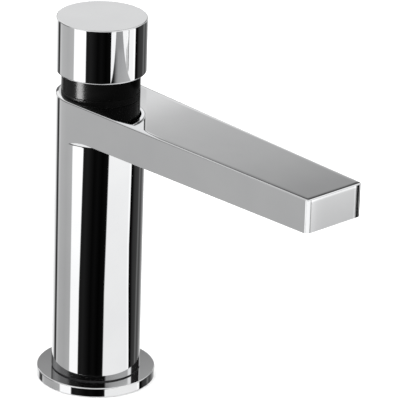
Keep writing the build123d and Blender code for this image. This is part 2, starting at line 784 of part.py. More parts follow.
# Outlet: washer, threaded housing and the perforated insert.
with BuildPart() as aerator_gasket:
    with BuildSketch(Plane.XY.offset(housing_top)):
        with Locations((outlet_x, 0)):
            Circle(washer_d / 2)
            Circle(washer_d / 2 - washer_width, mode=Mode.SUBTRACT)
    extrude(amount=washer_high)
aerator_gasket.part.label = "aerator_gasket"
export_step(aerator_gasket.part, "parts/aerator_gasket.step")

with BuildPart() as aerator_housing:
    with BuildSketch(Plane.XY.offset(housing_low)):
        with Locations((outlet_x, 0)):
            Circle(housing_d / 2)
            Circle(housing_mouth_d / 2, mode=Mode.SUBTRACT)
    extrude(amount=housing_top - housing_low)
    with BuildSketch(Plane.XY.offset(housing_ledge)):
        with Locations((outlet_x, 0)):
            Circle(housing_bore_d / 2)
    extrude(amount=outlet_roof - housing_ledge, mode=Mode.SUBTRACT)
aerator_housing.part.label = "aerator_housing"
export_step(aerator_housing.part, "parts/aerator_housing.step")

with BuildPart() as aerator_insert:
    with BuildSketch(Plane.XY.offset(housing_ledge)):
        with Locations((outlet_x, 0)):
            Circle(insert_d / 2)
            Circle(insert_d / 2 - insert_rim, mode=Mode.SUBTRACT)
    extrude(amount=housing_top - housing_ledge)
    with BuildSketch(Plane.XY.offset(housing_ledge)):
        with Locations((outlet_x, 0)):
            Circle(insert_d / 2)
            with HexLocations(insert_pitch / 2, 5, 5):
                Circle(insert_hole_d / 2, mode=Mode.SUBTRACT)
    extrude(amount=insert_floor_high)
aerator_insert.part.label = "aerator_insert"
export_step(aerator_insert.part, "parts/aerator_insert.step")
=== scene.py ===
import bmesh
import bpy
import json
import math
import numpy as np
from mathutils import Matrix, Vector


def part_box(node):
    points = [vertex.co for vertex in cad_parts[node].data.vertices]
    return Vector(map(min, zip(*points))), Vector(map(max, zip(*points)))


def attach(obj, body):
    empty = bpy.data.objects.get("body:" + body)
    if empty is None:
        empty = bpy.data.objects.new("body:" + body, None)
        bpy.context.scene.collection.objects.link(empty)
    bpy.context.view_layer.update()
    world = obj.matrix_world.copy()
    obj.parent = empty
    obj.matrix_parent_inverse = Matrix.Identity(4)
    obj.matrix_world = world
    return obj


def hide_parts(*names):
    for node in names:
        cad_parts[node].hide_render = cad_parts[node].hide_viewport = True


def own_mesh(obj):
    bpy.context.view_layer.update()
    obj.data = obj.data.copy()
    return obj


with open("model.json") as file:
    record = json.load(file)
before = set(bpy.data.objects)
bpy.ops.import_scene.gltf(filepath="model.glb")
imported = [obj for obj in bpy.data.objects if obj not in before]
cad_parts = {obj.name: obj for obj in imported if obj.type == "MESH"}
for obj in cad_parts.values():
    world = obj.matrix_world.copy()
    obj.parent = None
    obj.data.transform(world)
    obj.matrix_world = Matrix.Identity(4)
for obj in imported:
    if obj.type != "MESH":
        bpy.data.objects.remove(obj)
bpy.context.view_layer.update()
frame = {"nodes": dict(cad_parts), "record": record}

# Camera at the photograph's angle: a long lens well back, looking down on the tap from its right.
# The picture is turned by a degree or two, so the column leans slightly in it.
MM = 0.001
view_turn = math.radians(46.9)
view_down = math.radians(22.48)
view_roll = math.radians(1.76)
view_far = 1.7
aim_height, aim_right, aim_lift = 90 * MM, 47.38 * MM, 0.55 * MM
right = Vector((math.cos(view_turn), math.sin(view_turn), 0))
away = Vector((-math.sin(view_turn), math.cos(view_turn), 0))
look = away * math.cos(view_down) - Vector((0, 0, 1)) * math.sin(view_down)
lift = right.cross(look)
aim = Vector((0, 0, aim_height)) + right * aim_right + lift * aim_lift
cam_right = right * math.cos(view_roll) + lift * math.sin(view_roll)
cam_up = lift * math.cos(view_roll) - right * math.sin(view_roll)
place = Matrix((cam_right, cam_up, -look)).transposed().to_4x4()
place.translation = aim - look * view_far
camera_data = bpy.data.cameras.new("camera")
camera_data.sensor_width = 36
camera_data.lens = 327.1
camera_data.clip_end = 20
camera = bpy.data.objects.new("camera", camera_data)
camera.matrix_world = place
bpy.context.scene.collection.objects.link(camera)
bpy.context.scene.camera = camera
bpy.context.scene.view_settings.view_transform = "Standard"


# Body: column and arm are one brass casting, ground flat on top, polished all over and chrome plated.
# The plate is a mirror with the faint waviness of a polished casting and a trace of wiping haze.
class Wire:
    """A value in a node tree. Sums, products and the like of wires and numbers make Math nodes."""

    def __init__(self, tree, socket=None):
        self.tree, self.socket = tree, socket

    def node(self, kind, out=0, inputs=(), stops=(), **settings):
        """A new node: first its settings and a ramp's stops, then the values or links of its sockets."""
        made = self.tree.nodes.new(kind)
        for key, value in settings.items():
            setattr(made, key, value)
        bar = made.color_ramp.elements if stops else ()
        while len(bar) < len(stops):
            bar.new(0.5)
        for element, (position, level) in zip(bar, stops):
            element.position = position
            element.color = (*level, 1) if isinstance(level, tuple) else (level, level, level, 1)
        for key, value in dict(inputs).items():
            if isinstance(value, Wire):
                self.tree.links.new(value.socket, made.inputs[key])
            else:
                made.inputs[key].default_value = value
        return Wire(self.tree, made.outputs[out] if made.outputs else None)

    def math(self, operation, *others):
        """One Math node of this wire and the others."""
        return self.node("ShaderNodeMath", inputs=enumerate((self, *others)), operation=operation)

    def __add__(self, other):
        return self.math("ADD", other)

    def __sub__(self, other):
        return self.math("SUBTRACT", other)

    def __rsub__(self, other):
        return self.math("MULTIPLY_ADD", -1.0, other)

    def __mul__(self, other):
        return self.math("MULTIPLY", other)

    def __truediv__(self, other):
        return self.math("DIVIDE", other)

    __radd__, __rmul__ = __add__, __mul__

    def dot(self, vector):
        """How far the point lies along the vector: the sum of the products of their coordinates."""
        return self.node("ShaderNodeVectorMath", "Value", {0: self, 1: vector}, operation="DOT_PRODUCT")

    def ramp(self, stops):
        """The level or colour that runs straight from each (position, level) stop to the next."""
        return self.node("ShaderNodeValToRGB", 0, {0: self}, stops)

    def mix(self, low, high):
        """low where this wire is 0, high where it is 1, and a blend of them between."""
        return self.node("ShaderNodeMix", 2, {0: self, 6: low, 7: high}, data_type="RGBA")


def material(name, look_of, **fixed):
    """A Principled material. look_of gets the Object coordinates and returns the varying inputs."""
    made = bpy.data.materials.new(name)
    made.use_nodes = True
    tree = made.node_tree
    shader = tree.nodes["Principled BSDF"]
    for key, value in fixed.items():
        shader.inputs[key.replace("_", " ")].default_value = value
    spot = Wire(tree).node("ShaderNodeTexCoord", "Object")
    for key, value in look_of(spot).items():
        tree.links.new(value.socket, shader.inputs[key])
    return made


def noise(spot, scale, detail=3.0):
    """Cloudy noise from 0 to 1, with about scale clouds to the metre and finer ones in them by detail."""
    return spot.node("ShaderNodeTexNoise", 0, {"Vector": spot, "Scale": scale, "Detail": detail})


def bump(height, strength, distance):
    """The normal of a surface raised by height times distance, mixed in by strength."""
    return height.node("ShaderNodeBump", 0, {"Height": height, "Strength": strength, "Distance": distance})


def chrome_look(spot):
    """Wiping haze: noise in the colour and the roughness. Waviness: slower noise as a bump."""
    haze = noise(spot, 45.0, 4.0)
    return {
        "Base Color": haze.ramp([(0.3, (0.83, 0.835, 0.845)), (0.7, (0.87, 0.875, 0.88))]),
        "Roughness": haze * 0.016 + 0.02,
        "Normal": bump(noise(spot, 26.0, 1.0), 0.02, 0.0004),
    }


chrome = material("chrome", chrome_look, Metallic=1.0)
round_steps = 192


class Skin:
    """Patches of surface, each a grid of points with their exact normals, welded into one closed mesh."""

    def __init__(self):
        self.points, self.normals, self.faces = [], [], []
        self.count = 0

    def patch(self, points, normals, faces):
        """Adds points with their normals, and faces that number these points from 0."""
        self.points.append(points)
        self.normals.append(normals)
        self.faces.append(faces + self.count)
        self.count += len(points)

    def grid(self, points, normals, closed=False):
        """Face (row, column) joins that point, its neighbour in the row, and the two of the next row."""
        points = np.asarray(points, float)
        normals = np.broadcast_to(np.asarray(normals, float), points.shape)
        rows, columns = points.shape[:2]
        row, column = np.mgrid[0:rows - 1, 0:columns if closed else columns - 1]
        here, beside = row * columns + column, row * columns + (column + 1) % columns
        faces = np.stack([here, beside, beside + columns, here + columns], -1).reshape(-1, 4)
        self.patch(points.reshape(-1, 3), normals.reshape(-1, 3), faces)

    def flat(self, loops, normal):
        """A flat face inside the first loop, with the other loops as holes."""
        shortest = 0.001 * MM
        loops = [loop[np.abs(loop - np.roll(loop, 1, axis=0)).max(1) > shortest] for loop in loops]
        build = bmesh.new()
        for loop in loops:
            ring = [build.verts.new(point) for point in loop.tolist()]
            for here, beside in zip(ring, ring[1:] + ring[:1]):
                build.edges.new((here, beside))
        bmesh.ops.triangle_fill(build, use_beauty=True, edges=build.edges[:], normal=normal)
        build.verts.index_update()
        faces = [[vertex.index for vertex in face.verts] + [face.verts[0].index] for face in build.faces]
        points = np.vstack(loops)
        build.free()
        self.patch(points, np.tile(np.asarray(normal, float), (len(points), 1)), np.array(faces))

    def spin(self, profile, x=0.0, steps=round_steps):
        """Turns a profile of (radius, height, normal out, normal up) about the upright line at x."""
        profile = np.asarray(profile, float)
        turn = np.linspace(0, 2 * math.pi, steps, endpoint=False)
        ring = np.stack([np.cos(turn), np.sin(turn), 0 * turn], 1)
        size = np.hypot(profile[:, 2], profile[:, 3])
        points = ring[None] * profile[:, 0, None, None] + (x, 0, 0)
        points[:, :, 2] = profile[:, 1, None]
        normals = ring[None] * (profile[:, 2] / size)[:, None, None]
        normals[:, :, 2] = (profile[:, 3] / size)[:, None]
        self.grid(points, normals, closed=True)

    def lathe(self, *corners, x=0.0):
        """Straight walls between (radius, height) corners, with the stuff on the left of each wall's run."""
        for (r0, z0), (r1, z1) in zip(corners, corners[1:]):
            self.spin([(r0, z0, z1 - z0, r0 - r1), (r1, z1, z1 - z0, r0 - r1)], x)

    def piece(self, name, finish, body, slot, *replaced):
        """Welds points that coincide, drops faces that shrink to a line, and turns faces to their normals."""
        points, normals, faces = np.vstack(self.points), np.vstack(self.normals), np.vstack(self.faces)
        weld_size = 0.0005 * MM
        _, first, weld = np.unique(
            np.round(points / weld_size), axis=0, return_index=True, return_inverse=True,
        )
        weld = weld.reshape(-1)
        spots = points[first]
        quads = points[faces]
        across = np.cross(quads[:, 2] - quads[:, 0], quads[:, 3] - quads[:, 1])
        turned = (across * normals[faces].sum(1)).sum(1) < 0
        faces[turned] = faces[turned, ::-1]
        welded = weld[faces]
        keep = welded != np.roll(welded, 1, axis=1)
        solid = keep.sum(1) > 2
        sizes = keep[solid].sum(1)
        corners, given = welded[solid][keep[solid]], normals[faces[solid][keep[solid]]]
        starts = np.concatenate([[0], np.cumsum(sizes)[:-1]])
        mesh = bpy.data.meshes.new(name)
        mesh.vertices.add(len(spots))
        mesh.vertices.foreach_set("co", spots.ravel())
        mesh.loops.add(len(corners))
        mesh.loops.foreach_set("vertex_index", corners)
        mesh.polygons.add(len(sizes))
        mesh.polygons.foreach_set("loop_start", starts)
        mesh.update(calc_edges=True)
        mesh.polygons.foreach_set("use_smooth", np.ones(len(sizes), bool))
        mesh.normals_split_custom_set(given.tolist())
        mesh.materials.append(finish)
        made = bpy.data.objects.new(name, mesh)
        bpy.context.scene.collection.objects.link(made)
        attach(made, body)
        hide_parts(*replaced)
        return made


# web is the radius of the rounded inner corner under the arm, and roll_off the flat top's slope at its edge
low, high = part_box("tap_body")
column_r = -low.x
reach, top, foot = high.x, high.z, low.z
tip_half, corner, rim = 16.5 * MM, 1.7 * MM, 0.6 * MM
thick_at_axis, thick_at_tip = 17.9 * MM, 16.1 * MM
web, underside_lip = 3 * MM, 0.15 * MM
roll_off, roll_end = math.radians(10), 3 * MM
barrel_r, foot_r, play, foot_room = 16 * MM, 17 * MM, 0.3 * MM, 1 * MM
web_steps, close_steps, side_steps, middle_steps, corner_steps, back_steps = 20, 8, 19, 80, 10, 220
rim_rows, roll_rows = 8, 9
under_axis, under_tip = top - thick_at_axis, top - thick_at_tip
corner_x, corner_y = reach - corner, tip_half - corner
spread = math.atan2(corner_y, corner_x) + math.acos((column_r - corner) / math.hypot(corner_x, corner_y))
up = np.array((0, 0, 1.0))
quarter = np.radians(np.linspace(0, 90, 7))


def under(x):
    """Level of the arm's flat underside, which rises evenly towards the tip."""
    return under_axis + (under_tip - under_axis) * x / reach


def arc(start, end, count):
    """Unit vectors at even turns from start to end."""
    turn = np.linspace(start, end, count + 1)
    return np.stack([np.cos(turn), np.sin(turn), 0 * turn], 1)


def at(points, height):
    """The same points at another height."""
    placed = points.copy()
    placed[:, 2] = height
    return placed


full_round = arc(0, 2 * math.pi, round_steps)[:-1]
# the sides' points lie closer where the rounded inner corner under the arm runs out on them
join_x, join_y = (column_r - corner) * math.cos(spread), (column_r - corner) * math.sin(spread)
side_long = math.hypot(corner_x - join_x, join_y - corner_y)
web_part = math.sqrt((column_r + web) ** 2 - column_r ** 2) / side_long
close_part = 2.2 * web_part
share = np.concatenate([
    np.linspace(0, web_part, web_steps + 1),
    np.linspace(web_part, close_part, close_steps + 1)[1:],
    np.linspace(close_part, 1, side_steps + 1)[1:],
])[:, None]
back_out = arc(spread, 2 * math.pi - spread, back_steps)
near_out, far_out = arc(-spread, 0, corner_steps), arc(0, spread, corner_steps)
sides = len(share)
arm_out = np.vstack([
    np.tile(near_out[0], (sides, 1)), near_out[1:], far_out[:-1], np.tile(far_out[-1], (sides, 1)),
])
whole_out = np.vstack([back_out, arm_out[1:-1]])


def outline(inset):
    """The outline moved inwards: the back of the column, then the arm's near side, tip and far side.

    A side is the straight line that touches both the column's round and the round at the tip's corner.
    """
    back = back_out * (column_r - inset)
    sharp = max(inset - corner, 0.0)
    middle = np.array((corner_x - sharp, sharp * (1 - math.cos(spread)) / math.sin(spread) - corner_y, 0))
    near = middle + near_out * max(corner - inset, 0.0)
    far = middle * (1, -1, 1) + far_out * max(corner - inset, 0.0)
    near_side = back[-1] * (1 - share) + near[0] * share
    far_side = back[0] * (1 - share[::-1]) + far[-1] * share[::-1]
    return back, np.vstack([near_side, near[1:], far[:-1], far_side])


back, arm = outline(0.0)
# the inner corner is a quarter round about the column; a side cuts it where it sticks out
room = np.hypot(arm[:, 0], arm[:, 1]) - column_r
beside = (np.arange(len(arm)) < sides) | (np.arange(len(arm)) >= len(arm) - sides)
just_inside = 0.9999 * web
inner = beside & (room < just_inside)
room_share = np.clip(room / web, 0, 1)
web_drop = np.where(inner, web * (1 - np.sqrt(1 - (1 - room_share) ** 2)), 0.0)
turn_of = np.arctan2(arm[:, 1], arm[:, 0])
edge_low = np.where(inner, under((column_r + web) * np.cos(turn_of)), under(arm[:, 0])) - web_drop
lip = underside_lip * np.where(beside, np.clip((room - web) / web, 0, 1), 1.0)
roll_wide = roll_end - rim * (1 - math.sin(roll_off))
fall = math.tan(roll_off) * roll_wide / 3
shoulder = top - fall - rim * math.cos(roll_off)
body = Skin()
body.grid([at(back, foot), at(back, edge_low[0]), at(back, shoulder)], back_out)
body.grid([at(arm, edge_low + lip), at(arm, shoulder)], arm_out)
# upper edge: a small radius, then the slight roll-off that polishing leaves round the flat top,
# whose slope fades to nothing with the square of the way that is left
rows, normals = [], []
for a in np.linspace(0, math.pi / 2 - roll_off, rim_rows):
    near_back, near_arm = outline(rim * (1 - math.cos(a)))
    rows.append(at(np.vstack([near_back, near_arm[1:-1]]), shoulder + rim * math.sin(a)))
    normals.append(whole_out * math.cos(a) + up * math.sin(a))
for left in np.linspace(1, 0, roll_rows)[1:]:
    near_back, near_arm = outline(roll_end - left * roll_wide)
    slope = math.tan(roll_off) * left ** 2
    rows.append(at(np.vstack([near_back, near_arm[1:-1]]), top - fall * left ** 3))
    normals.append((whole_out * slope + up) / math.hypot(slope, 1))
body.grid(rows, normals, closed=True)
body.flat([rows[-1], at(full_round * barrel_r, top)], up)
# lower edge: a slight round along the arm, which starts where the inner corner ends
rows, normals = [], []
for a in quarter:
    rows.append(at(arm - arm_out * (lip * (1 - math.cos(a)))[:, None], edge_low + lip * (1 - math.sin(a))))
    normals.append(arm_out * math.cos(a) - up * math.sin(a))
body.grid(rows, normals)
# column under the arm, and the rounded inner corner up to the underside
near_turn = turn_of[:web_steps + 1]
middle_turn = np.linspace(near_turn[-1], -near_turn[-1], middle_steps + 1)[1:-1]
angle = np.concatenate([near_turn, middle_turn, -near_turn[::-1]])
radial = np.stack([np.cos(angle), np.sin(angle), 0 * angle], 1)
web_top = under((column_r + web) * np.cos(angle))
least_cosine = 0.1
side_room = column_r / np.maximum(np.cos(spread - np.abs(angle)), least_cosine) - column_r
last = np.arccos(1 - np.clip(side_room / web, 0, 1))
body.grid([at(radial * column_r, foot), at(radial * column_r, web_top - web)], radial)
rows, normals = [], []
for bend in (quarter / quarter[-1])[:, None] * last:
    out, rise = np.cos(bend), np.sin(bend)
    rows.append(at(radial * (column_r + web * (1 - out))[:, None], web_top - web * (1 - rise)))
    normals.append(radial * out[:, None] - up * rise[:, None])
body.grid(rows, normals)
# underside with the outlet's seat, a round bore from below
outlet_low, outlet_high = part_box("aerator_housing")
outlet_x = (outlet_low.x + outlet_high.x) / 2
outlet_r = (outlet_high.x - outlet_low.x) / 2 + play
outlet_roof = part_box("aerator_gasket")[1].z
mouth = full_round * outlet_r + (outlet_x, 0, 0)
round_web = (radial * (column_r + web))[web_steps:web_steps + middle_steps + 1][::-1]
below = np.vstack([(arm - arm_out * lip[:, None])[web_steps:-web_steps], round_web[1:-1]])
incline = np.array((under_tip - under_axis, 0, -reach)) / math.hypot(under_tip - under_axis, reach)
body.flat([at(below, under(below[:, 0])), at(mouth, under(mouth[:, 0]))], incline)
body.grid([at(mouth, under(mouth[:, 0])), at(mouth, outlet_roof)], -full_round, closed=True)
body.lathe((outlet_r, outlet_roof), (0, outlet_roof), x=outlet_x)
# bores: the foot's from below and the cartridge's from above
foot_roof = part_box("inlet_base")[1].z + foot_room
barrel_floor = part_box("cartridge_housing")[0].z - play
body.lathe((0, foot_roof), (foot_r, foot_roof), (foot_r, foot))
body.lathe((barrel_r, top), (barrel_r, barrel_floor), (0, barrel_floor))
ground = np.vstack([back_out[:-1], radial[:-1]]) * column_r
body.flat([at(ground, foot), at(full_round * foot_r, foot)], -up)
body.piece("tap_shell", chrome, "tap", "chrome", "tap_body")

# Flange: turned brass disc, chrome plated, with a small radius on its upper edge.
# Its underside is hollowed for the rubber gasket.
low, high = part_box("base_flange")
flange_r, edge, foot_edge, flange_hole = high.x, 0.5 * MM, 0.2 * MM, 15.3 * MM
hollow_out, hollow_in, hollow_top = 26.1 * MM, 17.7 * MM, 2 * MM


def rounded(radius, height, size, start, end, steps=8):
    """Profile points of a rounded corner, from angle start to end, about (radius, height)."""
    turn = np.radians(np.linspace(start, end, steps + 1))
    out, rise = np.cos(turn), np.sin(turn)
    return np.column_stack([radius + size * out, height + size * rise, out, rise])


flange = Skin()
flange.lathe(
    (flange_hole, high.z), (flange_hole, low.z), (hollow_in, low.z), (hollow_in, hollow_top),
    (hollow_out, hollow_top), (hollow_out, low.z), (flange_r - foot_edge, low.z),
    (flange_r, low.z + foot_edge), (flange_r, high.z - edge),
)
flange.spin(rounded(flange_r - edge, high.z - edge, edge, 0, 90))
flange.lathe((flange_r - edge, high.z), (flange_hole, high.z))
flange.piece("flange_disc", chrome, "tap", "chrome", "base_flange")


# Neck: a low ring of matt black plastic, and above it a glossy sleeve that runs up inside the button.
# Both are moulded in a deep black, which shows little but the strip lamp, more softly on the matt ring.
def moulded(dark, light, rough, grain_scale, depth):
    """Moulded stuff: slow mottle between two colours, and fine grain in the roughness and as a bump."""
    def look_of(spot):
        mottle = noise(spot, 60.0)
        grain = noise(spot, grain_scale, 5.0)
        return {
            "Base Color": mottle.ramp([(0.3, dark), (0.7, light)]),
            "Roughness": grain * 0.12 + rough,
            "Normal": bump(grain, depth, 0.0002),
        }

    return look_of


dull = 0.03
matt_black = material(
    "matt_black", moulded((0.002, 0.002, 0.002), (0.003, 0.003, 0.003), 0.26, 2200.0, 0.25),
    Specular_IOR_Level=dull,
)
gloss_black = material(
    "gloss_black", moulded((0.001, 0.001, 0.001), (0.002, 0.002, 0.002), 0.14, 400.0, 0.01),
    Specular_IOR_Level=dull,
)
ring_hole, bead = 14.2 * MM, 0.25 * MM
low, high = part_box("neck_base_ring")
neck_ring = Skin()
neck_ring.lathe(
    (high.x - bead, high.z), (ring_hole, high.z), (ring_hole, low.z), (high.x, low.z),
    (high.x, high.z - bead),
)
neck_ring.spin(rounded(high.x - bead, high.z - bead, bead, 0, 90, 4))
ring_piece = neck_ring.piece("neck_lower_ring", matt_black, "tap", "matt_black", "neck_base_ring")
low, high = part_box("neck_sleeve")
sleeve_hole, plate_top, plate_low, plate_hole = 15.2 * MM, 153 * MM, 151 * MM, 4 * MM
sleeve = Skin()
sleeve.spin(rounded(high.x - bead, low.z + bead, bead, -90, 0, 4))
sleeve.spin(rounded(high.x - bead, high.z - bead, bead, 0, 90, 4))
sleeve.lathe((high.x, low.z + bead), (high.x, high.z - bead))
sleeve.lathe(
    (high.x - bead, high.z), (sleeve_hole, high.z), (sleeve_hole, plate_top), (plate_hole, plate_top),
    (plate_hole, plate_low), (sleeve_hole, plate_low), (sleeve_hole, low.z), (high.x - bead, low.z),
)
sleeve_piece = sleeve.piece("neck_gloss_sleeve", gloss_black, "tap", "gloss_black", "neck_sleeve")

# Button: a straight turned cap, chrome plated, with a crisp upper edge and a rounded foot.
# It is open below, where the neck's sleeve runs up inside it.
low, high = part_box("push_button")
button_r, brim, hem, wall, roof = high.x, 0.5 * MM, 0.8 * MM, 2 * MM, 3 * MM
button = Skin()
button.spin(rounded(button_r - hem, low.z + hem, hem, -90, 0))
button.spin(rounded(button_r - brim, high.z - brim, brim, 0, 90))
button.lathe((button_r, low.z + hem), (button_r, high.z - brim))
button.lathe((button_r - brim, high.z), (button_r / 2, high.z), (0, high.z))
button.lathe(
    (0, high.z - roof), (button_r - wall, high.z - roof), (button_r - wall, low.z), (button_r - hem, low.z),
)
button.piece("button_cap", chrome, "plunger", "chrome", "push_button")


# Works inside the column, the inlet and the outlet: turned brass, stainless steel, rubber and plastics.
# Brass carries the lathe's fine rings about the column's axis, and steel a fine drawn grain.
def brass_look(spot):
    """Lathe rings, a sine of the distance from the axis with one ring every 0.7 mm, and a cloudy tint."""
    level = spot.node("ShaderNodeVectorMath", 0, {0: spot, 1: (1, 1, 0)}, operation="MULTIPLY")
    radius = level.node("ShaderNodeVectorMath", "Value", {0: level}, operation="LENGTH")
    rings = (radius * 9000.0).math("SINE")
    tint = noise(spot, 140.0)
    return {
        "Base Color": tint.ramp([(0.3, (0.60, 0.43, 0.19)), (0.7, (0.75, 0.58, 0.30))]),
        "Roughness": tint * 0.2 + 0.22,
        "Normal": bump(rings, 0.12, 0.0001),
    }


def steel_look(spot):
    """Drawn grain: noise that is 15 times as long upwards as it is wide."""
    stretched = spot.node("ShaderNodeVectorMath", 0, {0: spot, 1: (900.0, 900.0, 60.0)}, operation="MULTIPLY")
    grain = noise(stretched, 1.0, 2.0)
    return {
        "Base Color": grain.ramp([(0.3, (0.55, 0.55, 0.56)), (0.7, (0.70, 0.70, 0.71))]),
        "Roughness": grain * 0.2 + 0.24,
        "Normal": bump(grain, 0.08, 0.0001),
    }


finishes = {
    "chrome": chrome,
    "matt_black": matt_black,
    "gloss_black": gloss_black,
    "brass": material("brass", brass_look, Metallic=1.0),
    "steel": material("steel", steel_look, Metallic=1.0),
}
for name, *moulding in (
    ("rubber", (0.012, 0.012, 0.013), (0.02, 0.02, 0.022), 0.55, 1800.0, 0.3),
    ("grey_plastic", (0.28, 0.29, 0.31), (0.34, 0.35, 0.37), 0.38, 1200.0, 0.1),
    ("white_plastic", (0.76, 0.76, 0.73), (0.84, 0.84, 0.82), 0.34, 1200.0, 0.1),
):
    finishes[name] = material(name, moulded(*moulding))
for entry in frame["record"]["subparts"]:
    for holder in frame["nodes"][entry["node"]].material_slots:
        holder.material = finishes[entry["material_slot"]]

# Return spring: wound steel wire between the chamber's floor and the piston, with closer end turns.
# In the tap its foot stays put and the piston presses it together as the button goes down; here it is built
# at one length.
low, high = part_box("return_spring")
wire_r, end_pitch, turns, stroke = 0.55 * MM, 1.6 * MM, 6, 8 * MM
turn_steps, wire_steps = 48, 16
coil_r = high.x - wire_r
coil_high = high.z - low.z - 2 * wire_r
open_pitch = (coil_high - 2 * end_pitch) / (turns - 2)
along = np.linspace(0, turns, turns * turn_steps + 1)
climb = low.z + wire_r + np.interp(
    along, [0, 1, turns - 1, turns], [0, end_pitch, end_pitch + (turns - 2) * open_pitch, coil_high],
)
outwards = np.stack([np.cos(2 * math.pi * along), np.sin(2 * math.pi * along), 0 * along], 1)
axis_line = at(outwards * coil_r, climb)
run = np.gradient(axis_line, axis=0)
across_wire = np.cross(run / np.linalg.norm(run, axis=1)[:, None], outwards)
# the wire's skin: round each point of the coil, a circle in the plane square to the wire
round_wire = np.linspace(0, 2 * math.pi, wire_steps + 1)[:-1, None]
skin_out = outwards[:, None] * np.cos(round_wire) + across_wire[:, None] * np.sin(round_wire)
coil = Skin()
coil.grid(axis_line[:, None] + skin_out * wire_r, skin_out, closed=True)
coil.flat([axis_line[0] + skin_out[0] * wire_r], -run[0] / np.linalg.norm(run[0]))
coil.flat([axis_line[-1] + skin_out[-1] * wire_r], run[-1] / np.linalg.norm(run[-1]))
coil_piece = coil.piece("spring_coil", finishes["steel"], "tap", "steel", "return_spring")
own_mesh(coil_piece)

# Floor: a wide pale sheet that the tap stands on, matt and faintly mottled.
# It is kept out of the chrome, which in the photograph mirrors a studio and no floor.
square = ((-1, -1), (1, -1), (1, 1), (-1, 1))


def one_face(name, corners):
    """A mesh of one flat face between four corners."""
    made = bpy.data.meshes.new(name)
    made.from_pydata([tuple(corner) for corner in corners], [], [(0, 1, 2, 3)])
    return made


def level_square(name, half, height):
    """A level square of the given half width, centred on the tap's axis."""
    return one_face(name, [(half * x, half * y, height) for x, y in square])


floor_half, floor_at = 3.0, 0
floor_mesh = level_square("floor", floor_half, floor_at)
floor = bpy.data.objects.new("floor", floor_mesh)
bpy.context.scene.collection.objects.link(floor)
floor_mesh.materials.append(material(
    "floor", lambda spot: {"Base Color": noise(spot, 2.0).ramp([(0.3, 0.93), (0.7, 0.95)])}, Roughness=0.9,
))
floor.visible_glossy = False


# Backdrop card behind the tap: what the flat top faces mirror. It darkens upwards and to the right.
# Like all of the studio it glows by itself and only mirrors see it. A wing carries it on to the right.
def glowing(name, mesh, level_of):
    """A piece of the studio that only mirrors see, as bright as level_of says for its Object coordinates."""
    made = bpy.data.objects.new(name, mesh)
    bpy.context.scene.collection.objects.link(made)
    paint = bpy.data.materials.new(name)
    paint.use_nodes = True
    tree = paint.node_tree
    tree.nodes.clear()
    start = Wire(tree)
    level = level_of(start.node("ShaderNodeTexCoord", "Object"))
    glow = start.node("ShaderNodeEmission", 0, {"Color": level, "Strength": 1.0})
    start.node("ShaderNodeOutputMaterial", inputs={"Surface": glow})
    mesh.materials.append(paint)
    made.visible_camera = False
    made.visible_diffuse = False
    made.visible_shadow = False


def limited(wire, most=1.0):
    """The wire, held between 0 and most."""
    return wire.math("MAXIMUM", 0.0).math("MINIMUM", most)


def card_level(spot):
    """A ramp over the height left of an upright line, and right of it one over the height plus the slant."""
    line_at, line_wide, slant = 0.0148, 0.001, 0.35
    sideways, height = spot.dot(tuple(right)), spot.dot((0, 0, 1.0))
    behind = height.ramp([
        (0.10, 0.21), (0.158, 0.26), (0.25, 0.60), (0.30, 0.78), (0.335, 0.76), (0.343, 0.45), (0.40, 0.3),
        (0.45, 0.12), (0.6, 0.06),
    ])
    slanted = (height + sideways * slant).ramp([
        (0.10, 0.21), (0.165, 0.26), (0.225, 0.55), (0.265, 0.82), (0.286, 0.78), (0.302, 0.56),
        (0.3145, 0.50), (0.342, 0.455), (0.370, 0.35), (0.396, 0.31), (0.44, 0.16), (0.52, 0.04),
    ])
    return limited((sideways - line_at) / line_wide).mix(behind, slanted)


def upright(name, low_corner, high_corner, distance):
    """An upright card between two (sideways, height) corners, that far behind the axis, facing the camera."""
    corners = [low_corner, (high_corner[0], low_corner[1]), high_corner, (low_corner[0], high_corner[1])]
    behind = away * distance
    return one_face(name, [right * side + behind + Vector((0, 0, height)) for side, height in corners])


card_behind, card_top = 0.35, 0.75
glowing("card", upright("card", (-0.05, 0.09), (0.15, card_top), card_behind), card_level)
glowing("card_wing", upright("card_wing", (0.15, 0.38), (0.26, card_top), card_behind), card_level)


# Small card that only the arm's end face mirrors: it makes that face a little darker downwards and to the
# right, with a white strip along its top and a white and a black one down its right end.
def tip_card_level(spot):
    """A ramp over the height times a ramp from side to side, both in shares of the card's size."""
    card_low, card_high, card_left, card_wide = 0.044, 0.024, 0.113, 0.048
    downwards = ((spot.dot((0, 0, 1.0)) - card_low) / card_high).ramp([
        (0.0, 0.60), (0.33, 0.64), (0.58, 0.68), (0.785, 0.72), (0.81, 1.1),
    ])
    sideways = ((spot.dot((0, 1.0, 0)) - card_left) / card_wide).ramp([
        (0.12, 1.0), (0.126, 0.05), (0.152, 0.05), (0.160, 1.35), (0.185, 1.2), (0.247, 1.06), (0.363, 1.0),
        (0.777, 1.0), (0.784, 1.5), (0.796, 1.5), (0.800, 0.0),
    ])
    return downwards * sideways


# from the end face, the camera's line of sight goes on mirrored: turned back in x
mirrored = Vector((-look.x, look.y, look.z))
face_y, face_z, card_off = 11 * MM, 134 * MM, 0.2
half_wide, half_high = 24 * MM, 14 * MM
tip_card_at = Vector((reach, face_y, face_z)) + mirrored * card_off
glowing("tip_card", one_face("tip_card", [
    tip_card_at + Vector((0, half_wide * side, half_high * rise)) for side, rise in square
]), tip_card_level)

# Small white card in front of the arm's near corner, whose round mirrors it as an upright white line.
# It stands 150 mm before the axis, square to the camera.
corner_card = upright("corner_card", (0.068, 0.095), (0.125, 0.139), -0.15)
glowing("corner_card", corner_card, lambda spot: (1.1, 1.1, 1.1, 1.0))


